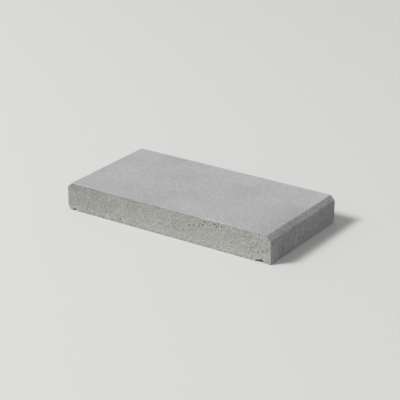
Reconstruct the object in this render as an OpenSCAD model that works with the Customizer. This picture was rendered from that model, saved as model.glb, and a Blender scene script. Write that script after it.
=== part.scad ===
// Pillar cap of pressed concrete: a flat stone with a chamfer along the top of each short end.
// One covers an oblong pillar. Two, laid with a long face of each together, cover a square one.
//
// Millimetres. X runs along the stone, Y across it and Z up.
// The origin is the middle of the bed, the flat underside that lies on the pillar.

/* [Stone] */
// Length, from one end face to the other
stone_length = 500; // [200:5:900]
// Width, from one joint face to the other
stone_width = 250; // [100:5:600]
// Height, from the bed to the top face
stone_height = 60; // [35:1:150]

/* [Chamfers] */
// How far a chamfer runs in along the top face
chamfer_run = 10; // [3:0.5:25]
// How far a chamfer comes down the end face
chamfer_drop = 10; // [3:0.5:25]

/* [Arrises] */
// How far back the edges all round the two joint faces are eased, where the mould opened
joint_arris = 1.5; // [0.5:0.1:4]
// How far back the two edges between an end face and the bed are eased
bed_arris = 2; // [0.5:0.1:4]

/* [Hidden] */

// How many times its set-back an arris's centre lies inside each face. Above 1 the arc is flatter
// than a quarter turn, and meets both faces at a slight angle, as an eased edge does.
arris_flatness = 1.5;
// Sides that a full turn of an arris is drawn with
arc_sides = 64;
// How far a cutting shape runs past the corner that it cuts
spare = 1;
// Longer than the stone can be from any of its faces
beyond = 2 * (stone_length + stone_width + stone_height);

end_x = stone_length / 2;
shoulder_z = stone_height - chamfer_drop;
chamfer_slope = atan2(chamfer_drop, chamfer_run);

// The faces that run across the stone, as [a point on the face in X and Z, its slope from level].
// Each end has a chamfer and an end face, on the +X side here and mirrored to the other.
top_face = [[0, stone_height], 0];
chamfer_face = [[end_x, shoulder_z], chamfer_slope];
end_face = [[end_x, 0], 90];
bed_face = [[0, 0], 180];

// What an arris takes off a square corner that points to +X +Y. The arc starts at the origin, on
// the face that looks to +Y, and ends on the face that looks to +X.
module arris_waste(set_back) {
    centre = arris_flatness * set_back;
    translate([set_back - centre, -centre])
        difference() {
            square(centre + spare);
            circle(norm([centre, centre - set_back]), $fn = arc_sides);
        }
}

// Lays a shape's XY plane on a face, with the shape's origin this far along Y
module on_face(face, y = 0) {
    point = face[0];
    translate([point.x, y, point.y])
        rotate([0, face[1], 0])
            children();
}

// Everything behind a face of this width, less an arris along both of its sides
module behind(face, width, arris) {
    difference() {
        on_face(face)
            translate([-beyond / 2, -beyond / 2, -beyond])
                cube(beyond);
        for (side = [0, 1])
            mirror([0, side, 0])
                on_face(face, width / 2 - arris)
                    rotate([90, 0, 90])
                        linear_extrude(beyond, center = true)
                            arris_waste(arris);
    }
}

// Everything behind a face that runs across the stone from joint face to joint face
module behind_across(face) {
    behind(face, stone_width, joint_arris);
}

// Everything behind one face of the +X end and the same face of the -X end
module between_ends(face) {
    intersection_for(side = [0, 1])
        mirror([side, 0, 0])
            behind_across(face);
}

// Everything between the two joint faces
module between_joints() {
    cube([beyond, stone_width, beyond], center = true);
}

// Everything above the bed, less an arris along each end face
module above_bed() {
    rotate([0, 0, 90])
        behind(bed_face, stone_length, bed_arris);
}

// The stone is what lies behind all of its faces at once
module cap_stone() {
    color([0.70, 0.70, 0.69])
        intersection() {
            between_joints();
            above_bed();
            behind_across(bed_face);
            behind_across(top_face);
            between_ends(end_face);
            between_ends(chamfer_face);
        }
}

cap_stone();
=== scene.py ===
# %% [markdown]
# # A pillar cap of pressed concrete
# The object is one flat oblong stone with a chamfer along the top of each short end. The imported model
# gives its exact form, with clean faces and even arrises. The real stone was pressed in a steel mould,
# knocked about and stacked: its arrises are worn and crumbled, its two long faces are open and sandy,
# and a few of its corners have broken off. This lesson makes that stone, inside the exact one's box.

import math

import bmesh
import bpy
import numpy as np
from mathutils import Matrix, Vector


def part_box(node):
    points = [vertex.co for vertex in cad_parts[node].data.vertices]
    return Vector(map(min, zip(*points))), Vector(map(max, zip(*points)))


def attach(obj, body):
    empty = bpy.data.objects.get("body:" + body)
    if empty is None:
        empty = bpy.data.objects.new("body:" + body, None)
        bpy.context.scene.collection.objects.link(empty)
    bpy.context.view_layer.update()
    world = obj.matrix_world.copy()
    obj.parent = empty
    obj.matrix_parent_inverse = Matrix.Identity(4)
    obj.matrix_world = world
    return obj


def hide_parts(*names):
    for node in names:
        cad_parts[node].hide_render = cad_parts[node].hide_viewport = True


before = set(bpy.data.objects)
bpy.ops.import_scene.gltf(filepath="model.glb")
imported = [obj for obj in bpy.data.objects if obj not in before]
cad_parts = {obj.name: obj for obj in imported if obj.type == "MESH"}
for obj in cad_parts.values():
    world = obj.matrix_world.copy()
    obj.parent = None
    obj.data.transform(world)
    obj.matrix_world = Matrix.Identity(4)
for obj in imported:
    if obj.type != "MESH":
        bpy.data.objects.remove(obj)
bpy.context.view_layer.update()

# %% [markdown]
# ## Sizes
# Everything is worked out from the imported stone, in metres. The box gives the length, width and height.
# The chamfer is read from the mesh: the top face stops short of the end by the chamfer's run, and the
# end face stops below the top by its drop.

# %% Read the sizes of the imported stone
MM = 0.001
TINY = 0.01 * MM

low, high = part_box("cap_stone")
centre = (low + high) / 2
half_length = (high.x - low.x) / 2

cad_points = np.array([vertex.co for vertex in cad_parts["cap_stone"].data.vertices])
on_top = cad_points[:, 2] > high.z - TINY
on_end = cad_points[:, 0] > high.x - TINY
chamfer_run = high.x - cad_points[on_top, 0].max()
chamfer_drop = high.z - cad_points[on_end, 2].max()
shoulder = high.z - chamfer_drop
print(f"chamfer: {chamfer_run / MM:.1f} mm in, {chamfer_drop / MM:.1f} mm down")

# %% [markdown]
# ## Camera
# A long lens a good way off shows the stone almost without perspective, so its edges stay parallel.
# The camera looks down a little on the front long face and the right-hand end.

# %% Make the camera
CAMERA_AZIMUTH = math.radians(34.1)
CAMERA_ELEVATION = math.radians(22.7)
CAMERA_DISTANCE = 3.127
CAMERA_LENS = 135
AIM_OFFSET = Vector((-6.5 * MM, 10 * MM, 0))


def toward(azimuth, elevation):
    """The direction from the stone to something at this azimuth, 0 being in front, and elevation."""
    flat = math.cos(elevation)
    return Vector((math.sin(azimuth) * flat, -math.cos(azimuth) * flat, math.sin(elevation)))


def place_facing(thing, position, target):
    """Puts a camera or a lamp at a position, looking at a target."""
    thing.location = position
    thing.rotation_euler = (target - position).to_track_quat("-Z", "Y").to_euler()


def add_object(name, data):
    """Links a new object that holds this data."""
    thing = bpy.data.objects.new(name, data)
    bpy.context.scene.collection.objects.link(thing)
    return thing


aim = centre + AIM_OFFSET
camera = add_object("camera", bpy.data.cameras.new("camera"))
camera.data.lens = CAMERA_LENS
place_facing(camera, aim + CAMERA_DISTANCE * toward(CAMERA_AZIMUTH, CAMERA_ELEVATION), aim)
bpy.context.scene.camera = camera
print("camera at", tuple(round(value, 3) for value in camera.location))

# %% [markdown]
# ## Node helpers
# Both Geometry Nodes and materials are trees of nodes. One small function adds a node with its
# settings and its links, so each tree below reads as a list of what it does. Colours are written as
# sRGB hex values, and one function turns them into the linear values that the nodes want.

# %% Add a node, and make a colour linear
# A Mix node has a socket of one name for each kind of value, so its sockets are told by number
MIX_FLOAT_A, MIX_FLOAT_B, MIX_FLOAT = 2, 3, 0
MIX_VECTOR_A, MIX_VECTOR_B, MIX_VECTOR = 4, 5, 1
MIX_COLOUR_A, MIX_COLOUR_B, MIX_COLOUR = 6, 7, 2


def add_node(tree, kind, inputs=None, out=None, **settings):
    """Adds a node with its settings and inputs, each a plain value or another node's output. Gives
    back the output that out names or numbers, or else the whole node."""
    new = tree.nodes.new(kind)
    for name, value in settings.items():
        setattr(new, name, value)
    for key, value in (inputs or {}).items():
        if isinstance(value, bpy.types.NodeSocket):
            tree.links.new(value, new.inputs[key])
        else:
            new.inputs[key].default_value = value
    return new if out is None else new.outputs[out]


def linear(hex_colour):
    """An sRGB hex colour as linear red, green, blue and alpha."""
    channels = [int(hex_colour[i:i + 2], 16) / 255 for i in (1, 3, 5)]
    return [c / 12.92 if c <= 0.04045 else ((c + 0.055) / 1.055) ** 2.4 for c in channels] + [1.0]


print("red, linear:", [round(value, 3) for value in linear("#B24030")])

# %% [markdown]
# ## The block
# The wear needs points to move, so the stone starts as a shell of many small faces. The two long
# faces carry the sandy relief and get a fine grid all over. The top, the bed and the ends are smooth,
# so their grid is fine only next to the arrises and coarse between. The shell is made in Python,
# because a graded grid with a clean step from fine to coarse is easiest to say as lists of places.

# %% Places along each axis, closer together near the arrises
GRID_PITCH = 1.5 * MM
FIRST_STEP = 0.35 * MM
STEP_GROWTH = 1.4
CROSS_PITCH = 3.5 * MM
CROSS_GROWTH = 1.5
COARSE_STRIDE = 8
FINE_BAND = 3 * MM


def graded(start, end, pitch, growth):
    """Places from start to end whose steps grow away from both ends until they reach the pitch."""
    rise = []
    step = FIRST_STEP
    while step < pitch:
        rise.append(step)
        step *= growth
    middle = end - start - 2 * sum(rise)
    count = math.ceil(middle / pitch)
    steps = rise + [middle / count] * count + rise[::-1]
    return start + np.concatenate([[0], np.cumsum(steps)])


# Along the stone they are shares of the half length, so that they draw in with the chamfers
along = graded(-half_length, half_length, GRID_PITCH, STEP_GROWTH) / half_length
upward = np.concatenate([graded(low.z, shoulder, GRID_PITCH, STEP_GROWTH),
                         graded(shoulder, high.z, GRID_PITCH, STEP_GROWTH)[1:]])
across = graded(low.y, high.y, CROSS_PITCH, CROSS_GROWTH)
print("grid:", len(along), "along,", len(upward), "up,", len(across), "across")

# %% Lay the grid of a long face


def reach(z):
    """How far the stone's end is from its middle at this height: less above the shoulder."""
    return half_length - chamfer_run * max(0, z - shoulder) / chamfer_drop


def long_face(y):
    """The grid of points of one long face, a row for each height."""
    return [[(centre.x + u * reach(z), y, z) for u in along] for z in upward]


print(f"from the middle to the end: {reach(low.z) / MM:.0f} mm, and {reach(high.z) / MM:.0f} mm at the top")

# %% Join rings of points across the stone


def rim():
    """The grid places round the edge of a long face, in order, and which of them a coarse ring keeps:
    all those up the two ends, all those close to an end, and then one in every stride."""
    last_column = len(along) - 1
    last_row = len(upward) - 1
    bed_side = [(0, i) for i in range(last_column)]
    far_end = [(j, last_column) for j in range(last_row)]
    top_side = [(last_row, i) for i in range(last_column, 0, -1)]
    near_end = [(j, 0) for j in range(last_row, 0, -1)]
    places = bed_side + far_end + top_side + near_end
    kept = [at for at, (j, i) in enumerate(places)
            if i % COARSE_STRIDE == 0 or (1 - abs(along[i])) * half_length < FINE_BAND]
    return places, kept


def band(near, far, total):
    """The faces between two rings. Where one is coarse, a face takes in all the fine points it spans."""
    shared = sorted(set(near) & set(far))
    faces = []
    for start, end in zip(shared, shared[1:] + [total]):
        span = [at % total for at in range(start, end + 1)]
        near_edge = [near[at] for at in span if at in near]
        far_edge = [far[at] for at in span if at in far]
        faces.append(near_edge[::-1] + far_edge)
    return faces


rim_places, rim_kept = rim()
print(f"a fine ring has {len(rim_places)} points, a coarse one {len(rim_kept)}")

# %% Build the shell of the block


def block_shell():
    """The closed shell of the unworn stone, as points and faces that point outwards."""
    columns, rows = len(along), len(upward)
    front, back = long_face(low.y), long_face(high.y)
    points = [p for face in (front, back) for row in face for p in row]
    faces = []

    def corner(side, j, i):
        """The number of a point of the front face, which is side 0, or of the back face."""
        return side * rows * columns + j * columns + i

    for j in range(rows - 1):
        for i in range(columns - 1):
            faces.append([corner(0, *at) for at in ((j, i), (j, i + 1), (j + 1, i + 1), (j + 1, i))])
            faces.append([corner(1, *at) for at in ((j, i), (j + 1, i), (j + 1, i + 1), (j, i + 1))])
    rings = [{at: corner(0, *place) for at, place in enumerate(rim_places)}]
    for y in across[1:-1]:
        fine = min(y - low.y, high.y - y) < FINE_BAND
        ring = {}
        for at in range(len(rim_places)) if fine else rim_kept:
            j, i = rim_places[at]
            ring[at] = len(points)
            points.append((front[j][i][0], y, front[j][i][2]))
        rings.append(ring)
    rings.append({at: corner(1, *place) for at, place in enumerate(rim_places)})
    for near, far in zip(rings, rings[1:]):
        faces += band(near, far, len(rim_places))
    return points, faces


shell_points, shell_faces = block_shell()
print("shell:", len(shell_points), "points,", len(shell_faces), "faces")

# %% Make the shell an object


def mesh_object(name, points, edges=(), faces=()):
    """A mesh object from points, edges and faces."""
    mesh = bpy.data.meshes.new(name)
    mesh.from_pydata([tuple(p) for p in points], edges, faces)
    mesh.update()
    return add_object(name, mesh)


block = mesh_object("pressed_stone", shell_points, faces=shell_faces)
print("block:", [round(size / MM, 1) for size in block.dimensions], "mm")

# %% [markdown]
# ## Finishes
# Pressed concrete has one colour of paste and three kinds of surface. Against the mould it comes out
# dense and smooth, with faint clouds where water and air gathered. On the open long faces the sand
# shows: pale and dark grains, with voids between them. Where it is broken or pitted, the sand and the
# aggregate lie bare. All patterns read Object coordinates, so they run on from one face to the next
# as if they went through the stone, and each is sized in millimetres after the real thing.
#
# Soft random patches and grains of even shade are wanted again and again, so each has a function: it
# takes their real width, and the two values that they run between. And no face is even from end to
# end. A streak holds damp, the foot is loose with pale grains, and some marks are painted light and
# shade: a darker near corner and a paler back on the top, a darker rubbed arris, and ends and feet
# made paler with painted light. Each such mark is a zone: an amount of shade that grows between two
# places on an axis.

# %% Patches and grains
CLOUD_WIDTH = 70 * MM
FLECK_WIDTH = 1.2 * MM      # coarser than the real fines, so that they show


def patches(tree, place, width, least, most, start=0.35, end=0.65, detail=2.0, onto=None):
    """Soft random patches about this wide, whose value runs from least to most, laid onto another
    value if one is given. The span from start to end, within the noise's own 0 to 1, says how clear
    the patches' edges are and how much of the surface they take."""
    scale = add_node(tree, "ShaderNodeMath", {0: 1.0, 1: width}, out=0, operation="DIVIDE")
    noise = add_node(tree, "ShaderNodeTexNoise", {"Vector": place, "Scale": scale, "Detail": detail}, out=0)
    value = add_node(tree, "ShaderNodeMapRange", {
        "Value": noise, "From Min": start, "From Max": end, "To Min": least, "To Max": most}, out=0)
    if onto is None:
        return value
    return add_node(tree, "ShaderNodeMath", {0: value, 1: onto}, out=0, operation="ADD")


def grains(tree, place, width, least, most, onto=None):
    """Grains about this wide, each of one even shade between least and most, laid onto another value
    if one is given. Gives the shade, and how far each point is from the middle of its grain."""
    cells = add_node(tree, "ShaderNodeTexVoronoi", {"Vector": place, "Scale": 1 / width}).outputs
    own_shade = add_node(tree, "ShaderNodeSeparateColor", {0: cells["Color"]}, out="Red")
    value = add_node(tree, "ShaderNodeMapRange", {"Value": own_shade, "To Min": least, "To Max": most}, out=0)
    if onto is not None:
        value = add_node(tree, "ShaderNodeMath", {0: value, 1: onto}, out=0, operation="ADD")
    return value, cells["Distance"]


print(f"a fleck is {FLECK_WIDTH / MM:.1f} mm wide, a cloud {CLOUD_WIDTH / MM:.0f} mm")

# %% Start a finish
MINERAL_IOR = 1.5


def new_finish(name):
    """A material for dull mineral, with its tree, its shader and the place that its patterns read."""
    material = bpy.data.materials.new(name)
    material.use_nodes = True
    tree = material.node_tree
    shader = tree.nodes["Principled BSDF"]
    shader.inputs["IOR"].default_value = MINERAL_IOR
    place = add_node(tree, "ShaderNodeTexCoord", out="Object")
    return material, tree, shader, place


print(f"thrown back by a polished face, met square on: {((MINERAL_IOR - 1) / (MINERAL_IOR + 1)) ** 2:.0%}")

# %% Dust, pale grains and zones
LIME_DUST = "#DCDDDB"
DUST_WIDTH = 3 * MM
QUARTZ = "#D0D0CA"
QUARTZ_WIDTH = 2.6 * MM


def dust(tree, place, colour, where, amount):
    """Pale lime dust in soft specks over a colour, thickest where the value called where is 1."""
    specks = patches(tree, place, DUST_WIDTH, 0.3 * amount, amount, start=0.4, end=0.6)
    cover = add_node(tree, "ShaderNodeMath", {0: specks, 1: where}, out=0, operation="MULTIPLY")
    return add_node(tree, "ShaderNodeMix", {
        0: cover, MIX_COLOUR_A: colour, MIX_COLOUR_B: linear(LIME_DUST)}, out=MIX_COLOUR, data_type="RGBA")


def pale_grains(tree, place, colour, share):
    """Pale grains of quartz over a colour. The share says how many of all grains are pale."""
    chance, _ = grains(tree, place, QUARTZ_WIDTH, 0.0, 1.0)
    is_pale = add_node(tree, "ShaderNodeMath", {0: chance, 1: share}, out=0, operation="LESS_THAN")
    return add_node(tree, "ShaderNodeMix", {
        0: is_pale, MIX_COLOUR_A: colour, MIX_COLOUR_B: linear(QUARTZ)}, out=MIX_COLOUR, data_type="RGBA")


def zone(tree, place, value, amount, **spans):
    """Adds an amount to a value in one part of the stone. Each span names an axis, and gives the place
    where the amount starts to grow and the place where all of it is there. A second pair of places in a
    span does the same from the other side, so that the amount keeps to the stretch between them."""
    axes = add_node(tree, "ShaderNodeSeparateXYZ", {0: place}).outputs
    for axis, places in spans.items():
        for start, end in zip(places[::2], places[1::2]):
            amount = add_node(tree, "ShaderNodeMapRange", {
                "Value": axes[axis], "From Min": start, "From Max": end, "To Max": amount},
                out=0, interpolation_type="SMOOTHSTEP")
    return add_node(tree, "ShaderNodeMath", {0: value, 1: amount}, out=0, operation="ADD")


print(f"dust in specks of {DUST_WIDTH / MM:.1f} mm, quartz in grains of {QUARTZ_WIDTH / MM:.1f} mm")

# %% [markdown]
# ### The mould's faces
# Steel leaves the paste smooth, but not even: it is a little glossier where it is dense. The top came
# out cleanly, and its clouds are faint. It is darker where a streak along the front holds damp. Its
# near right corner is darker and its back towards the right paler: painted shade and painted light, an
# uneven fall of light across the top. The rubbed front arris is darker too, with painted shade that
# cancels the light its rounding catches. The ends and chamfers were dragged along the mould as the
# stone was pushed out, so their paste is torn into stronger blotches and wider flecks. Their paste is
# a touch warmer, a painted tint of the light in the shade, and the ends are paler near the front and
# at the foot with painted light. One function makes both finishes, and takes how strong each pattern
# is as a share of the way from lean to pale paste.

# %% Put a mould finish together
MOTTLE_WIDTH = 12 * MM
GLOSS_WIDTH = 20 * MM
MOULD_ROUGHNESS = (0.72, 0.88)
RIPPLE_WIDTH = 6 * MM
SKIN_DEPTH = 0.4 * MM


def mould_finish(name, lean, pale, cloud, mottle, fleck, fleck_width, zones):
    """Smooth paste off steel: clouds, mottling and flecks, each as strong as its value says. Each zone
    is an amount of shade and its spans."""
    material, tree, shader, place = new_finish(name)
    shade = patches(tree, place, CLOUD_WIDTH, 0.5 - cloud, 0.5 + cloud)
    shade = patches(tree, place, MOTTLE_WIDTH, -mottle, mottle, onto=shade)
    shade, _ = grains(tree, place, fleck_width, -fleck, fleck, onto=shade)
    for amount, spans in zones:
        shade = zone(tree, place, shade, amount, **spans)
    paste = add_node(tree, "ShaderNodeMix", {
        0: shade, MIX_COLOUR_A: linear(lean), MIX_COLOUR_B: linear(pale)},
        out=MIX_COLOUR, data_type="RGBA")
    loose = add_node(tree, "ShaderNodeAttribute", out="Fac", attribute_name="loose")
    near_arris = add_node(tree, "ShaderNodeAttribute", out="Fac", attribute_name="near_arris")
    crumbly = add_node(tree, "ShaderNodeMath", {0: loose, 1: near_arris}, out=0, operation="MULTIPLY")
    speckled = pale_grains(tree, place, paste, crumbly)
    dusted = dust(tree, place, speckled, near_arris, amount=0.05)
    tree.links.new(dusted, shader.inputs["Base Color"])
    tree.links.new(patches(tree, place, GLOSS_WIDTH, *MOULD_ROUGHNESS), shader.inputs["Roughness"])
    ripple = patches(tree, place, RIPPLE_WIDTH, 0.0, 1.0)
    skin = patches(tree, place, FLECK_WIDTH, 0.0, 0.3, onto=ripple)
    bump = add_node(tree, "ShaderNodeBump", {
        "Strength": 0.35, "Distance": SKIN_DEPTH, "Height": skin}, out=0)
    tree.links.new(bump, shader.inputs["Normal"])
    return material


print(f"mottling {MOTTLE_WIDTH / MM:.0f} mm wide, patches of gloss {GLOSS_WIDTH / MM:.0f} mm wide")

# %% Make the finishes of the mould's faces
TOP_LEAN = "#8F9090"        # damp, dense cement paste
TOP_PALE = "#CDCECD"        # dry paste, with a bloom of lime
END_LEAN_SHADE_TINT = "#8F8F8F"        # the same two, a touch warmer: a painted tint of the light in the shade on the ends
END_PALE_SHADE_TINT = "#CDCDCD"
TORN_WIDTH = 2.6 * MM       # of the flecks there
# The near right corner of the top is darker and its back towards the right paler: painted shade and painted
# light, an uneven fall of light across the top
near_corner_painted_shade = {"X": (high.x - 75 * MM, high.x - 20 * MM), "Y": (60 * MM, 15 * MM)}
back_painted_light = {"X": (0.0, 120 * MM), "Y": (40 * MM, high.y)}
# The front arris near the right-hand end is darker here: painted shade, which cancels the light that its
# rounding catches
rubbed_arris_painted_shade = {"X": (high.x - 90 * MM, high.x - 40 * MM), "Y": (low.y + 7 * MM, low.y)}
damp_streak = {"X": (-150 * MM, -110 * MM, -10 * MM, -50 * MM), "Y": (-20 * MM, low.y)}
# The ends are paler near the front and at the foot: painted light on the shaded ends
front_painted_light = {"Y": (low.y + 45 * MM, low.y), "Z": (high.z, shoulder - 20 * MM)}
foot_painted_light = {"Z": (15 * MM, low.z)}
top_finish = mould_finish("pressed_concrete_off_the_mould", TOP_LEAN, TOP_PALE,
                          cloud=0.055, mottle=0.04, fleck=0.25, fleck_width=FLECK_WIDTH,
                          zones=[(-0.18, near_corner_painted_shade), (0.1, back_painted_light), (-0.2, rubbed_arris_painted_shade),
                                 (-0.12, damp_streak)])
end_finish = mould_finish("pressed_concrete_dragged", END_LEAN_SHADE_TINT, END_PALE_SHADE_TINT,
                          cloud=0.1, mottle=0.1, fleck=0.3, fleck_width=TORN_WIDTH,
                          zones=[(0.22, front_painted_light), (0.16, foot_painted_light)])
print("mould finishes:", top_finish.name, end_finish.name)

# %% [markdown]
# ### The open faces
# The long faces never touched the mould's polish, and the bed stood on a pallet, so all three are
# open. Sand grains of about 2 mm show as cells, each with its own shade, so a Voronoi texture suits
# them better than noise. Round the larger pores and at the right-hand end the fines have gone, and
# coarser grains show. Voids lie between the grains and gather in clusters, painted dark with the
# shade inside them, and a few grains are pale quartz, most of them at the foot. The face is painted
# darker towards the top and most of all under the top arris, so that its foot is paler: painted
# light from the floor, and painted shade under the arris. The left-hand half is a little darker too.

# %% Lay the sand
SAND_DARK = "#82827B"
SAND_PALE = "#DDDED8"
SAND_SHADE = 0.575          # how far from dark to pale the foot of the face is, on average
GRAIN_WIDTH = 1.8 * MM
GRAIN_CONTRAST = 0.19
COARSE_WIDTH = 3.2 * MM
COARSE_CONTRAST = 0.4
PATCH_WIDTH = 28 * MM
PATCH_CONTRAST = 0.035
rough_end = {"X": (high.x - 90 * MM, high.x - 50 * MM)}
# The face is painted darker upwards and under the top arris: painted shade, with the foot paler as painted
# light from the floor
painted_shade_upward = {"Z": (low.z, high.z)}
painted_shade_under_rim = {"Z": (high.z - 8 * MM, high.z)}
left_half = {"X": (centre.x, low.x)}


def sand(tree, place):
    """The colour of the sand: grains of several greys, coarser in some places, and darker in others, partly
    with painted shade.
    Gives also how far each point is from the middle of its grain."""
    loose = add_node(tree, "ShaderNodeAttribute", out="Fac", attribute_name="loose")
    fine_shade, from_middle = grains(tree, place, GRAIN_WIDTH, -GRAIN_CONTRAST, GRAIN_CONTRAST)
    coarse_shade, _ = grains(tree, place, COARSE_WIDTH, -COARSE_CONTRAST, COARSE_CONTRAST)
    coarseness = zone(tree, place, loose, 0.35, **rough_end)
    own_shade = add_node(tree, "ShaderNodeMix", {
        0: coarseness, MIX_FLOAT_A: fine_shade, MIX_FLOAT_B: coarse_shade}, out=MIX_FLOAT)
    shade = add_node(tree, "ShaderNodeMath", {0: own_shade, 1: SAND_SHADE}, out=0, operation="ADD")
    shade = zone(tree, place, shade, -0.12, **painted_shade_upward)
    shade = zone(tree, place, shade, -0.11, **painted_shade_under_rim)
    shade = zone(tree, place, shade, -0.11, **left_half)
    shade = patches(tree, place, PATCH_WIDTH, -PATCH_CONTRAST, PATCH_CONTRAST, onto=shade)
    colour = add_node(tree, "ShaderNodeMix", {
        0: shade, MIX_COLOUR_A: linear(SAND_DARK), MIX_COLOUR_B: linear(SAND_PALE)},
        out=MIX_COLOUR, data_type="RGBA")
    return colour, from_middle


print(f"grains of {GRAIN_WIDTH / MM:.1f} mm, and of {COARSE_WIDTH / MM:.1f} mm where the fines have gone")

# %% Make the finish of the open faces
# The voids are painted this dark: painted shade, the shadow inside them
VOID_PAINTED_SHADOW = "#5E5E58"
VOID_WIDTH = 1.8 * MM
CLUSTER_WIDTH = 16 * MM
DULL_WIDTH = 5 * MM
OPEN_ROUGHNESS = (0.86, 0.98)
GRAIN_DEPTH = 0.4 * MM
PALE_SHARE = 0.02           # of quartz among the grains, away from the foot and the rough end
pale_foot = {"Z": (low.z + 16 * MM, low.z + 10 * MM)}
# Below the rim the arrises get dust, which is partly real dust and partly a painted highlight
below_the_rim = {"Z": (high.z - 8 * MM, high.z - 20 * MM)}


def open_finish(name):
    """Sandy concrete: voids between the grains painted dark with their shade, a few pale grains, and dust on
    all arrises but the top, partly a painted highlight.
    """
    material, tree, shader, place = new_finish(name)
    sand_colour, from_middle = sand(tree, place)
    void = patches(tree, place, VOID_WIDTH, 0.0, 0.7, start=0.64, end=0.70)
    cluster = patches(tree, place, CLUSTER_WIDTH, 0.5, 1.0)
    void_cover = add_node(tree, "ShaderNodeMath", {0: void, 1: cluster}, out=0, operation="MULTIPLY")
    pitted = add_node(tree, "ShaderNodeMix", {
        0: void_cover, MIX_COLOUR_A: sand_colour, MIX_COLOUR_B: linear(VOID_PAINTED_SHADOW)},
        out=MIX_COLOUR, data_type="RGBA")
    pale_share = zone(tree, place, PALE_SHARE, 0.15, **pale_foot)
    pale_share = zone(tree, place, pale_share, 0.04, **rough_end)
    speckled = pale_grains(tree, place, pitted, pale_share)
    near_arris = add_node(tree, "ShaderNodeAttribute", out="Fac", attribute_name="near_arris")
    # Dust along the arrises: partly real dust, partly a painted highlight on them
    dusted = dust(tree, place, speckled, zone(tree, place, 0.0, near_arris, **below_the_rim), amount=0.1)
    tree.links.new(dusted, shader.inputs["Base Color"])
    tree.links.new(patches(tree, place, DULL_WIDTH, *OPEN_ROUGHNESS), shader.inputs["Roughness"])
    fall = add_node(tree, "ShaderNodeMath", {0: from_middle, 1: void_cover}, out=0, operation="ADD")
    bump = add_node(tree, "ShaderNodeBump", {
        "Strength": 0.5, "Distance": -GRAIN_DEPTH, "Height": fall}, out=0)
    tree.links.new(bump, shader.inputs["Normal"])
    return material


long_finish = open_finish("pressed_concrete_open")
print("open finish:", long_finish.name)

# %% [markdown]
# ### Broken concrete
# Inside a pore, a chip or a break the aggregate lies bare: stones of several greys in a matt, paler
# paste, rough all over.

# %% Make the finish of the broken surfaces
STONE_DARK = "#87867F"
STONE_PALE = "#C3C3BB"
STONE_WIDTH = 5 * MM
PASTE_WIDTH = 1.5 * MM
BROKEN_ROUGHNESS = 0.95
ROUGH_WIDTH = 1.0 * MM
ROUGH_DEPTH = 0.6 * MM


def broken_finish(name):
    """Bare stones of the aggregate in matt paste."""
    material, tree, shader, place = new_finish(name)
    own_shade, _ = grains(tree, place, STONE_WIDTH, 0.0, 1.0)
    shade = patches(tree, place, PASTE_WIDTH, -0.3, 0.3, onto=own_shade)
    bare = add_node(tree, "ShaderNodeMix", {
        0: shade, MIX_COLOUR_A: linear(STONE_DARK), MIX_COLOUR_B: linear(STONE_PALE)},
        out=MIX_COLOUR, data_type="RGBA")
    tree.links.new(bare, shader.inputs["Base Color"])
    shader.inputs["Roughness"].default_value = BROKEN_ROUGHNESS
    rough = patches(tree, place, ROUGH_WIDTH, 0.0, 1.0)
    bump = add_node(tree, "ShaderNodeBump", {
        "Strength": 0.7, "Distance": ROUGH_DEPTH, "Height": rough}, out=0)
    tree.links.new(bump, shader.inputs["Normal"])
    return material


cut_finish = broken_finish("broken_concrete")
print("broken finish:", cut_finish.name)

# %% [markdown]
# ## Trees that work on a mesh
# Each Geometry Nodes tree takes a mesh, has named inputs for its sizes and its random seed, and gives
# a mesh back. The result is baked to a plain mesh at once, so nothing depends on a live modifier.
# Both trees end alike: any instances are made real, and each face gets its finish.

# %% Make, end and run a tree


def geometry_tree(name, sockets):
    """A tree with a mesh in, a mesh out and these named inputs, and its input node's sockets."""
    tree = bpy.data.node_groups.new(name, "GeometryNodeTree")
    tree.interface.new_socket("Geometry", in_out="INPUT", socket_type="NodeSocketGeometry")
    tree.interface.new_socket("Geometry", in_out="OUTPUT", socket_type="NodeSocketGeometry")
    for label, kind in sockets.items():
        tree.interface.new_socket(label, in_out="INPUT", socket_type="NodeSocket" + kind)
    return tree, add_node(tree, "NodeGroupInput").outputs


def end_tree(tree, geometry, finishes):
    """Makes instances real, then gives each selection of faces its finish, over any given before."""
    geometry = add_node(tree, "GeometryNodeRealizeInstances", {"Geometry": geometry}, out=0)
    for selection, finish in finishes:
        geometry = add_node(tree, "GeometryNodeSetMaterial", {
            "Geometry": geometry, "Selection": selection, "Material": finish}, out=0)
    add_node(tree, "NodeGroupOutput", {0: geometry})


def run_tree(thing, tree, values):
    """Runs a tree on an object and keeps the result as the object's own plain mesh."""
    modifier = thing.modifiers.new(tree.name, "NODES")
    modifier.node_group = tree
    for item in tree.interface.items_tree:
        if item.in_out == "INPUT" and item.name in values:
            modifier[item.identifier] = values[item.name]
    graph = bpy.context.evaluated_depsgraph_get()
    mesh = bpy.data.meshes.new_from_object(thing.evaluated_get(graph))
    thing.modifiers.remove(modifier)
    thing.data = mesh
    print(f"{tree.name}: {len(mesh.vertices)} points, {len(mesh.polygons)} faces")


# %% [markdown]
# ## Wear
# A ball rolled round the inside of a block touches it everywhere but in the corners, and leaves them
# round. The same is done here with a smaller copy of the stone as a core: each point goes to the
# nearest point of the core and out again by the ball's radius. A small ball gives the arris that the
# mould left, and a large ball a knocked and rubbed one. Noise says how far each stretch has gone from
# one to the other, and a stretch of the front top arris near the right-hand end is rubbed rounder.

# %% The plain block and its arris lines


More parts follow.
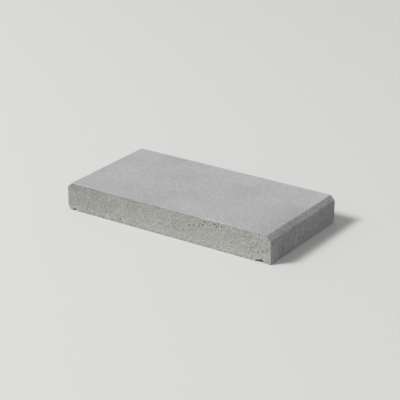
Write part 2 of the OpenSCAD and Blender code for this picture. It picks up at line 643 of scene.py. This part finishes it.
def plain_block(name):
    """The stone as a block of twelve corners, whose edges are its arris lines."""
    outline = [(-half_length, low.z), (half_length, low.z), (half_length, shoulder),
               (half_length - chamfer_run, high.z), (chamfer_run - half_length, high.z),
               (-half_length, shoulder)]
    points = [(centre.x + x, y, z) for y in (low.y, high.y) for x, z in outline]
    count = len(outline)
    sides = [[i, i + count, (i + 1) % count + count, (i + 1) % count] for i in range(count)]
    front_side = list(range(count))
    back_side = list(range(2 * count))[:count - 1:-1]
    return mesh_object(name, points, faces=[front_side, *sides, back_side])


arris_lines = plain_block("arris_lines")
print("plain block:", len(arris_lines.data.edges), "arris lines")

# %% The two cores inside it
KEEN_RADIUS = 1.2 * MM
WORN_RADIUS = 9.0 * MM


def core_block(name, distance):
    """The plain block with every face moved in, by solving for each corner's three faces."""
    core = plain_block(name)
    mesh = bmesh.new()
    mesh.from_mesh(core.data)
    bmesh.ops.recalc_face_normals(mesh, faces=mesh.faces)
    moves = {}
    for corner in mesh.verts:
        normals = np.array([face.normal for face in corner.link_faces])
        moves[corner] = Vector(np.linalg.solve(normals, [-distance] * len(normals)))
    for corner, move in moves.items():
        corner.co += move
    mesh.to_mesh(core.data)
    mesh.free()
    return core


keen_core = core_block("keen_core", KEEN_RADIUS)
worn_core = core_block("worn_core", WORN_RADIUS)
print("worn core:", [round(size / MM, 1) for size in worn_core.dimensions], "mm")

# %% Start the tree that wears the block
weather, given = geometry_tree("weather", {
    "Keen core": "Object", "Keen radius": "Float", "Worn core": "Object", "Worn radius": "Float",
    "Wear width": "Float", "Least wear": "Float", "Most wear": "Float",
    "Worn place": "Vector", "Worn reach": "Vector", "Place wear": "Float",
    "Grain width": "Float", "Grain depth": "Float", "Hollow width": "Float", "Hollow depth": "Float",
    "Wave width": "Float", "Wave depth": "Float", "Crumb width": "Float", "Crumb depth": "Float",
    "Foot crumbs": "Float", "Foot height": "Float",
    "Top finish": "Material", "End finish": "Material", "Long finish": "Material"})
position = add_node(weather, "GeometryNodeInputPosition", out=0)
print("weather:", len(weather.interface.items_tree), "sockets")

# %% Round the arrises


def roll_ball(core, radius):
    """For each point: where the ball leaves it, the way out from the core, and how far off it was."""
    surface = add_node(weather, "GeometryNodeObjectInfo", {"Object": core}, out="Geometry",
                       transform_space="RELATIVE")
    nearest = add_node(weather, "GeometryNodeProximity", {"Geometry": surface, "Sample Position": position},
                       target_element="FACES").outputs
    offset = add_node(weather, "ShaderNodeVectorMath", {0: position, 1: nearest["Position"]}, out=0,
                      operation="SUBTRACT")
    outward = add_node(weather, "ShaderNodeVectorMath", {0: offset}, out=0, operation="NORMALIZE")
    place = add_node(weather, "ShaderNodeVectorMath", {0: outward, 1: radius, 2: nearest["Position"]}, out=0,
                     operation="MULTIPLY_ADD")
    return place, outward, nearest["Distance"]


keen, outward, _ = roll_ball(given["Keen core"], given["Keen radius"])
rubbed, _, distance = roll_ball(given["Worn core"], given["Worn radius"])
from_place = add_node(weather, "ShaderNodeVectorMath", {0: position, 1: given["Worn place"]}, out=0,
                       operation="SUBTRACT")
in_reaches = add_node(weather, "ShaderNodeVectorMath", {0: from_place, 1: given["Worn reach"]}, out=0,
                      operation="DIVIDE")
away = add_node(weather, "ShaderNodeVectorMath", {0: in_reaches}, out="Value", operation="LENGTH")
at_place = add_node(weather, "ShaderNodeMapRange", {
    "Value": away, "From Min": 1.0, "From Max": 0.0, "To Max": given["Place wear"]}, out=0,
    interpolation_type="SMOOTHSTEP")
chance = patches(weather, position, given["Wear width"], given["Least wear"], given["Most wear"],
                 start=0.3, end=0.7)
wear = add_node(weather, "ShaderNodeMath", {0: chance, 1: at_place}, out=0, operation="MAXIMUM")
worn = add_node(weather, "ShaderNodeMix", {0: wear, MIX_VECTOR_A: keen, MIX_VECTOR_B: rubbed},
                out=MIX_VECTOR, data_type="VECTOR")
print("weather:", len(weather.nodes), "nodes for the rounding")

# %% [markdown]
# ### Relief
# Then the surface is pressed in. On the long faces grains stand up, with wider hollows between them.
# On the faces that the mould made there is only a long, low wave. Along the arrises the paste has
# crumbled away in small bites, most of all at the foot, where the stone has been stood and slid.

# %% Press the relief in


def along_axes(tree, direction):
    """How much of a direction lies along each axis, whichever way it points there."""
    unsigned = add_node(tree, "ShaderNodeVectorMath", {0: direction}, out=0, operation="ABSOLUTE")
    return add_node(tree, "ShaderNodeSeparateXYZ", {0: unsigned}).outputs


on_long_face = add_node(weather, "ShaderNodeMapRange", {
    "Value": along_axes(weather, outward)["Y"], "From Min": 0.5, "From Max": 1.0}, out=0,
    interpolation_type="SMOOTHSTEP")
grain_scale = add_node(weather, "ShaderNodeMath", {0: 1.0, 1: given["Grain width"]}, out=0,
                       operation="DIVIDE")
grain = add_node(weather, "ShaderNodeTexVoronoi", {"Vector": position, "Scale": grain_scale}, out="Distance")
hollow = patches(weather, position, given["Hollow width"], 0.0, given["Hollow depth"],
                 start=0.4, end=0.75, detail=3.0)
sandy = add_node(weather, "ShaderNodeMath", {0: grain, 1: given["Grain depth"], 2: hollow}, out=0,
                 operation="MULTIPLY_ADD")
smooth = patches(weather, position, given["Wave width"], 0.0, given["Wave depth"])
pressed = add_node(weather, "ShaderNodeMix", {0: on_long_face, MIX_FLOAT_A: smooth, MIX_FLOAT_B: sandy},
                   out=MIX_FLOAT)
print("weather:", len(weather.nodes), "nodes with the relief")

# %% Crumble the arrises, and move the points
# A point stood off the worn core by more than the ball's radius only where it was near an arris
stood_off = add_node(weather, "ShaderNodeMath", {0: distance, 1: given["Worn radius"]}, out=0,
                     operation="DIVIDE")
on_arris = add_node(weather, "ShaderNodeMapRange", {
    "Value": stood_off, "From Min": 1.05, "From Max": 1.3}, out=0)
crumbs = patches(weather, position, given["Crumb width"], 0.0, given["Crumb depth"],
                 start=0.48, end=0.7, detail=3.0)
above_bed = add_node(weather, "ShaderNodeSeparateXYZ", {0: position}, out="Z")
foot = add_node(weather, "ShaderNodeMapRange", {
    "Value": above_bed, "From Min": given["Foot height"], "From Max": 0.0,
    "To Min": 1.0, "To Max": given["Foot crumbs"]}, out=0)
foot_crumbs = add_node(weather, "ShaderNodeMath", {0: crumbs, 1: foot}, out=0, operation="MULTIPLY")
depth = add_node(weather, "ShaderNodeMath", {0: foot_crumbs, 1: on_arris, 2: pressed}, out=0,
                 operation="MULTIPLY_ADD")
inward = add_node(weather, "ShaderNodeMath", {0: depth, 1: -1.0}, out=0, operation="MULTIPLY")
new_place = add_node(weather, "ShaderNodeVectorMath", {0: outward, 1: inward, 2: worn}, out=0,
                     operation="MULTIPLY_ADD")
moved = add_node(weather, "GeometryNodeSetPosition", {"Geometry": given["Geometry"], "Position": new_place},
                 out=0)
print("weather:", len(weather.nodes), "nodes with the crumbs")

# %% Give each face its finish, and end the tree
# The chamfers lean halfway between the top and the ends, and count as ends
normal = add_node(weather, "GeometryNodeInputNormal", out=0)
facing = along_axes(weather, normal)
upness = add_node(weather, "ShaderNodeSeparateXYZ", {0: normal}, out="Z")
is_end = add_node(weather, "ShaderNodeMath", {0: facing["X"], 1: 0.4}, out=0, operation="GREATER_THAN")
is_long = add_node(weather, "ShaderNodeMath", {0: facing["Y"], 1: 0.6}, out=0, operation="GREATER_THAN")
is_bed = add_node(weather, "ShaderNodeMath", {0: upness, 1: -0.8}, out=0, operation="LESS_THAN")
end_tree(weather, moved, [(True, given["Top finish"]), (is_end, given["End finish"]),
                          (is_long, given["Long finish"]), (is_bed, given["Long finish"])])
print("weather:", len(weather.nodes), "nodes in all")

# %% Wear the block
run_tree(block, weather, {
    "Keen core": keen_core, "Keen radius": KEEN_RADIUS, "Worn core": worn_core, "Worn radius": WORN_RADIUS,
    "Wear width": 28 * MM, "Least wear": 0.0, "Most wear": 0.1,
    "Worn place": (high.x - 35 * MM, low.y, high.z), "Worn reach": (36 * MM, 16 * MM, 16 * MM),
    "Place wear": 0.35,
    "Grain width": 3.2 * MM, "Grain depth": 0.22 * MM, "Hollow width": 9 * MM, "Hollow depth": 0.2 * MM,
    "Wave width": 60 * MM, "Wave depth": 0.1 * MM, "Crumb width": 5 * MM, "Crumb depth": 0.4 * MM,
    "Foot crumbs": 4.0, "Foot height": 7 * MM,
    "Top finish": top_finish, "End finish": end_finish, "Long finish": long_finish})

# %% [markdown]
# ## Pores, chips and breaks
# Air and water leave small round pores on the open faces and a few pinholes on the mould's faces.
# Knocks take chips out of the arrises, and whole bites out of the foot at three corners. All of them
# are uneven lumps, set on points and cut out of the stone in one boolean. The manifold solver takes
# each lump as a body of its own, so they may overlap, and it leaves the stone closed.

# %% Where the flaws are
# On the front face, a row of larger pores climbs towards the top arris. A few smaller ones stand near
# the right end, and some of them run together into a short cleft. Each pore has its place, from the
# left end and from the top, and its radius
ROW_PORES = [(308, 23, 2.0), (321, 21, 1.8), (341, 14, 1.8), (344, 6, 1.9), (362, 1, 2.0), (370, 6, 2.1),
             (376, 8.5, 1.9), (386, 7, 2.3)]
LONE_PORES = [(455, 33, 1.2), (466, 24, 1.1), (469, 21.5, 1.4), (474.5, 28, 1.2), (476.5, 30.5, 1.3),
              (479, 33, 1.3), (481, 35.5, 1.2), (491, 33, 1.5)]
PORE_SINK = 0.3             # how deep a pore's middle lies, as a share of its radius

# Each break has its corner, as left or right and front or back, its offset from there and its radii
BREAKS = [
    ((1, -1), (-21, 0, -0.5), (7, 12, 7.5)),
    ((1, -1), (-31, 0, -0.5), (5.5, 9, 5.5)),
    ((-1, -1), (-1, 0, 0), (7.5, 7.5, 8)),
    ((-1, -1), (18, 0, 0), (5.5, 9, 4.5)),
    ((1, 1), (0, 0, 0), (4, 3.5, 5))]
print("chosen by hand:", len(BREAKS), "breaks,", len(ROW_PORES + LONE_PORES), "larger pores")

# %% Make the flaws' points


def flaw_points(name, places, radii, edges=()):
    """A mesh with a point for each flaw, and the flaw's three radii as the point's own attribute."""
    thing = mesh_object(name, places, edges=edges)
    sizes = thing.data.attributes.new("radii", "FLOAT_VECTOR", "POINT")
    sizes.data.foreach_set("vector", [MM * radius for row in radii for radius in row])
    return thing


def pore_points(name):
    """The larger pores of the front face. A line joins those of the row."""
    front_left = Vector((low.x, low.y, high.z))
    pores = ROW_PORES + LONE_PORES
    places = [front_left + Vector((along_mm, PORE_SINK * radius, -down_mm)) * MM
              for along_mm, down_mm, radius in pores]
    return flaw_points(name, places, [(radius,) * 3 for _, _, radius in pores],
                       edges=[(i, i + 1) for i in range(len(ROW_PORES) - 1)])


def break_points(name):
    """The breaks at the corners of the bed."""
    ends = {-1: low, 1: high}
    places = [Vector((ends[x_side].x, ends[y_side].y, low.z)) + Vector(offset) * MM
              for (x_side, y_side), offset, _ in BREAKS]
    return flaw_points(name, places, [radii for _, _, radii in BREAKS])


breaks = break_points("breaks")
large_pores = pore_points("large_pores")
print("points:", len(breaks.data.vertices), "of breaks,", len(large_pores.data.vertices), "of pores")

# %% Start the tree that carves the stone
carve, given = geometry_tree("carve", {
    "Arris lines": "Object", "Breaks": "Object", "Large pores": "Object", "Seed": "Int",
    "Pore gap": "Float", "Least pore": "Float", "Most pore": "Float",
    "Hole gap": "Float", "Least hole": "Float", "Most hole": "Float",
    "Pinhole gap": "Float", "Least pinhole": "Float", "Most pinhole": "Float",
    "Chip gap": "Float", "Least chip": "Float", "Most chip": "Float",
    "Loose gap": "Float", "Arris reach": "Float", "Loose reach": "Float", "Cut finish": "Material"})
facing = along_axes(carve, add_node(carve, "GeometryNodeInputNormal", out=0))
on_long = add_node(carve, "ShaderNodeMath", {0: facing["Y"], 1: 0.7}, out=0, operation="GREATER_THAN")
off_long = add_node(carve, "ShaderNodeMath", {0: facing["Y"], 1: 0.2}, out=0, operation="LESS_THAN")


def nearness_to(thing, reach_out):
    """How near each point is to the edges of an object: 1 on an edge, and 0 past the reach."""
    lines = add_node(carve, "GeometryNodeObjectInfo", {"Object": thing}, out="Geometry",
                     transform_space="RELATIVE")
    away = add_node(carve, "GeometryNodeProximity", {"Geometry": lines}, out="Distance",
                    target_element="EDGES")
    return add_node(carve, "ShaderNodeMapRange", {
        "Value": away, "From Min": reach_out, "From Max": 0.0}, out=0)


near_arris = nearness_to(given["Arris lines"], given["Arris reach"])
looseness = nearness_to(given["Large pores"], given["Loose reach"])
looser = add_node(carve, "ShaderNodeMath", {0: looseness, 1: on_long}, out=0, operation="MULTIPLY")
on_loose = add_node(carve, "ShaderNodeMath", {0: looser, 1: 0.3}, out=0, operation="GREATER_THAN")
print("carve:", len(carve.nodes), "nodes that choose faces")

# %% Shape the lumps


def lumps(subdivisions, unevenness):
    """Three balls of radius 1, each made uneven by a slice of noise of its own, with all faces marked."""
    family = add_node(carve, "GeometryNodeGeometryToInstance")
    for shape in range(3):
        ball = add_node(carve, "GeometryNodeMeshIcoSphere", {"Radius": 1.0, "Subdivisions": subdivisions},
                        out=0)
        noise = add_node(carve, "ShaderNodeTexNoise", {"W": 7.0 * shape, "Scale": 1.3, "Detail": 2.0},
                         out="Color", noise_dimensions="4D")
        push = add_node(carve, "ShaderNodeVectorMath", {
            0: noise, 1: (unevenness,) * 3, 2: (-unevenness / 2,) * 3}, out=0, operation="MULTIPLY_ADD")
        uneven = add_node(carve, "GeometryNodeSetPosition", {"Geometry": ball, "Offset": push}, out=0)
        marked = add_node(carve, "GeometryNodeStoreNamedAttribute", {
            "Geometry": uneven, "Name": "cut", "Value": True}, out=0, data_type="BOOLEAN", domain="FACE")
        carve.links.new(marked, family.inputs[0])
    return family.outputs[0]


plain_lumps = lumps(subdivisions=1, unevenness=0.5)
round_lumps = lumps(subdivisions=2, unevenness=0.7)
rough_lumps = lumps(subdivisions=4, unevenness=1.0)
print("carve:", len(carve.nodes), "nodes with the lumps")

# %% Choose places


def scatter_on(selection, gap):
    """Random points on some of the stone's faces, never closer together than the gap."""
    crowding = add_node(carve, "ShaderNodeMath", {0: gap, 1: -2.0}, out=0, operation="POWER")
    return add_node(carve, "GeometryNodeDistributePointsOnFaces", {
        "Mesh": given["Geometry"], "Selection": selection, "Distance Min": gap, "Density Max": crowding,
        "Seed": given["Seed"]}, out="Points", distribute_method="POISSON")


def points_along(thing, gap):
    """Points along an object's edges."""
    lines = add_node(carve, "GeometryNodeObjectInfo", {"Object": thing}, out="Geometry",
                     transform_space="RELATIVE")
    curves = add_node(carve, "GeometryNodeMeshToCurve", {"Mesh": lines}, out=0)
    return add_node(carve, "GeometryNodeResampleCurve", {"Curve": curves, "Length": gap}, out=0,
                    mode="LENGTH")


pore_places = scatter_on(on_long, given["Pore gap"])
hole_places = scatter_on(on_long, given["Hole gap"])
pinhole_places = scatter_on(off_long, given["Pinhole gap"])
chip_places = points_along(given["Arris lines"], given["Chip gap"])
loose_places = scatter_on(on_loose, given["Loose gap"])
print("carve:", len(carve.nodes), "nodes with the places")

# %% Set lumps of random size


def lumps_at(places, shapes, kind, slimmest, rarity=2.0):
    """Lumps at places, of random proportions and turn, and of random size between the tree's two inputs
    for flaws of this kind. A high rarity makes most of them small."""
    chance = add_node(carve, "FunctionNodeRandomValue", {2: 0.0, 3: 1.0, "Seed": given["Seed"]}, out=1,
                      data_type="FLOAT")
    skewed = add_node(carve, "ShaderNodeMath", {0: chance, 1: rarity}, out=0, operation="POWER")
    size = add_node(carve, "ShaderNodeMapRange", {
        "Value": skewed, "To Min": given["Least " + kind], "To Max": given["Most " + kind]}, out=0)
    proportions = add_node(carve, "FunctionNodeRandomValue", {0: (slimmest,) * 3, 1: (1.0,) * 3, "Seed": 1},
                           out=0, data_type="FLOAT_VECTOR")
    scale = add_node(carve, "ShaderNodeVectorMath", {0: proportions, "Scale": size}, out=0, operation="SCALE")
    turn = add_node(carve, "FunctionNodeRandomValue", {0: (0.0,) * 3, 1: (math.tau,) * 3, "Seed": 2}, out=0,
                    data_type="FLOAT_VECTOR")
    rotation = add_node(carve, "FunctionNodeEulerToRotation", {0: turn}, out=0)
    return add_node(carve, "GeometryNodeInstanceOnPoints", {
        "Points": places, "Instance": shapes, "Pick Instance": True, "Scale": scale, "Rotation": rotation},
        out=0)


pores = lumps_at(pore_places, plain_lumps, "pore", slimmest=0.6)
holes = lumps_at(hole_places, round_lumps, "hole", slimmest=0.5)
pinholes = lumps_at(pinhole_places, plain_lumps, "pinhole", slimmest=0.7)
chips = lumps_at(chip_places, round_lumps, "chip", slimmest=0.45, rarity=2.5)
loose_pores = lumps_at(loose_places, plain_lumps, "pore", slimmest=0.8, rarity=1.0)
print("carve:", len(carve.nodes), "nodes with the pores and chips")

# %% Set lumps of a chosen size


def lumps_sized(thing, shapes):
    """Lumps on an object's points, each of that point's own radii."""
    places = add_node(carve, "GeometryNodeObjectInfo", {"Object": thing}, out="Geometry",
                      transform_space="RELATIVE")
    radii = add_node(carve, "GeometryNodeInputNamedAttribute", {"Name": "radii"}, out=0,
                     data_type="FLOAT_VECTOR")
    return add_node(carve, "GeometryNodeInstanceOnPoints", {
        "Points": places, "Instance": shapes, "Pick Instance": True, "Scale": radii}, out=0)


larger_pores = lumps_sized(given["Large pores"], round_lumps)
bites = lumps_sized(given["Breaks"], rough_lumps)
print("carve:", len(carve.nodes), "nodes with all the flaws")

# %% [markdown]
# ### Cut, and mark
# The stone is turned into triangles before the cut. A triangle is flat, so what the cut leaves of it is
# flat too, while a piece of a warped face can fold over itself. After the cut, each point stores how
# near it is to an arris, and how near to the row of larger pores, where the concrete is loose. The
# finishes read the first to lay dust along the arrises, and the second to bare coarser and paler
# grains. The mark that the lumps brought says which faces are broken.

# %% Cut the lumps out, and end the tree
joined = add_node(carve, "GeometryNodeJoinGeometry")
for flaw in (pores, holes, pinholes, chips, loose_pores, larger_pores, bites):
    carve.links.new(flaw, joined.inputs[0])
flat_faced = add_node(carve, "GeometryNodeTriangulate", {"Mesh": given["Geometry"]}, out=0)
cut = add_node(carve, "GeometryNodeMeshBoolean", {"Mesh 1": flat_faced, "Mesh 2": joined.outputs[0]},
               out=0, operation="DIFFERENCE", solver="MANIFOLD")
marked = cut
for name, value in (("near_arris", near_arris), ("loose", looseness)):
    marked = add_node(carve, "GeometryNodeStoreNamedAttribute", {
        "Geometry": marked, "Name": name, "Value": value}, out=0, data_type="FLOAT", domain="POINT")
is_cut = add_node(carve, "GeometryNodeInputNamedAttribute", {"Name": "cut"}, out=0, data_type="BOOLEAN")
end_tree(carve, marked, [(is_cut, given["Cut finish"])])
print("carve:", len(carve.nodes), "nodes in all")

# %% Carve the stone
run_tree(block, carve, {
    "Arris lines": arris_lines, "Breaks": breaks, "Large pores": large_pores, "Seed": 7,
    "Pore gap": 4.5 * MM, "Least pore": 0.6 * MM, "Most pore": 1.3 * MM,
    "Hole gap": 14 * MM, "Least hole": 1.1 * MM, "Most hole": 2.1 * MM,
    "Pinhole gap": 24 * MM, "Least pinhole": 0.4 * MM, "Most pinhole": 1.0 * MM,
    "Chip gap": 19 * MM, "Least chip": 0.8 * MM, "Most chip": 3.0 * MM,
    "Loose gap": 5.0 * MM, "Arris reach": 9 * MM, "Loose reach": 10 * MM, "Cut finish": cut_finish})

# %% [markdown]
# ### Smooth and closed
# The faces are shaded smoothly, apart from the rims of the pores and breaks, which stay crisp. The
# helper objects have done their work and go. A count of open edges shows that the stone is closed.

# %% Shade the stone, clear away and measure
SHARP_ANGLE = math.radians(35)
block.data.shade_smooth()
block.data.set_sharp_from_angle(angle=SHARP_ANGLE)
for helper in (arris_lines, keen_core, worn_core, breaks, large_pores):
    bpy.data.objects.remove(helper)

block.data.calc_loop_triangles()
measured = bmesh.new()
measured.from_mesh(block.data)
open_edges = sum(1 for edge in measured.edges if not edge.is_manifold)
litres = measured.calc_volume() * 1000
measured.free()
print(f"stone: {len(block.data.loop_triangles)} triangles, {open_edges} open edges, {litres:.3f} litres")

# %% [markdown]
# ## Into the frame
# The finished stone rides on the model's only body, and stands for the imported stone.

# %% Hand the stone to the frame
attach(block, "root")
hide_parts("cap_stone")
print("slots:", [material.name for material in block.data.materials])

# %% [markdown]
# ## Floor and light
# The stone lies on a plain floor, so large that its edge is never seen. A pale floor throws a lot of
# light back at the sides of the stone, so this one looks pale to the camera and in reflections, but
# gives other rays the colour of grey card. One large soft lamp stands far off to the left in front,
# so far that the light hardly falls off along the stone, and an even white sky fills the shadows.

# %% Make the floor
FLOOR_HALF = 12
FLOOR_PALE = "#DEDEDC"
FLOOR_CARD = "#8C8C8C"
FLOOR_ROUGHNESS = 0.9


def seen_directly(tree):
    """1 for a ray from the camera, off a glossy surface or through glass, and 0 for other rays."""
    path = add_node(tree, "ShaderNodeLightPath").outputs
    either = add_node(tree, "ShaderNodeMath", {0: path["Is Camera Ray"], 1: path["Is Glossy Ray"]}, out=0,
                      operation="MAXIMUM")
    return add_node(tree, "ShaderNodeMath", {0: either, 1: path["Is Transmission Ray"]}, out=0,
                    operation="MAXIMUM")


floor_corners = [(FLOOR_HALF * x, FLOOR_HALF * y, low.z) for x, y in ((-1, -1), (1, -1), (1, 1), (-1, 1))]
floor = mesh_object("floor", floor_corners, faces=[(0, 1, 2, 3)])
floor_finish, tree, shader, _ = new_finish("studio_floor")
floor_colour = add_node(tree, "ShaderNodeMix", {
    0: seen_directly(tree), MIX_COLOUR_A: linear(FLOOR_CARD), MIX_COLOUR_B: linear(FLOOR_PALE)},
    out=MIX_COLOUR, data_type="RGBA")
tree.links.new(floor_colour, shader.inputs["Base Color"])
shader.inputs["Roughness"].default_value = FLOOR_ROUGHNESS
floor.data.materials.append(floor_finish)
print("floor:", 2 * FLOOR_HALF, "m across")

# %% Make the lights
KEY_AZIMUTH = math.radians(-42)
KEY_ELEVATION = math.radians(44)
KEY_DISTANCE = 14.0
KEY_SIZE = 4.0
KEY_SHARE = 0.83            # of the light that shows a white card as white
SKY_SHARE = 0.37            # the same, from the whole sky
SKY_SEEN = 0.9

key = add_object("key", bpy.data.lights.new("key", "AREA"))
key.data.size = KEY_SIZE
key.data.energy = KEY_SHARE * (math.pi * KEY_DISTANCE) ** 2
place_facing(key, centre + KEY_DISTANCE * toward(KEY_AZIMUTH, KEY_ELEVATION), centre)

world = bpy.data.worlds.new("world")
world.use_nodes = True
sky_tree = world.node_tree
sky_strength = add_node(sky_tree, "ShaderNodeMapRange", {
    "Value": seen_directly(sky_tree), "To Min": SKY_SHARE, "To Max": SKY_SEEN}, out=0)
sky = sky_tree.nodes["Background"]
sky.inputs["Color"].default_value = linear("#FFFFFF")
sky_tree.links.new(sky_strength, sky.inputs["Strength"])
bpy.context.scene.world = world
bpy.context.scene.view_settings.view_transform = "Standard"
print(f"key: {key.data.energy:.0f} W at {KEY_DISTANCE} m")
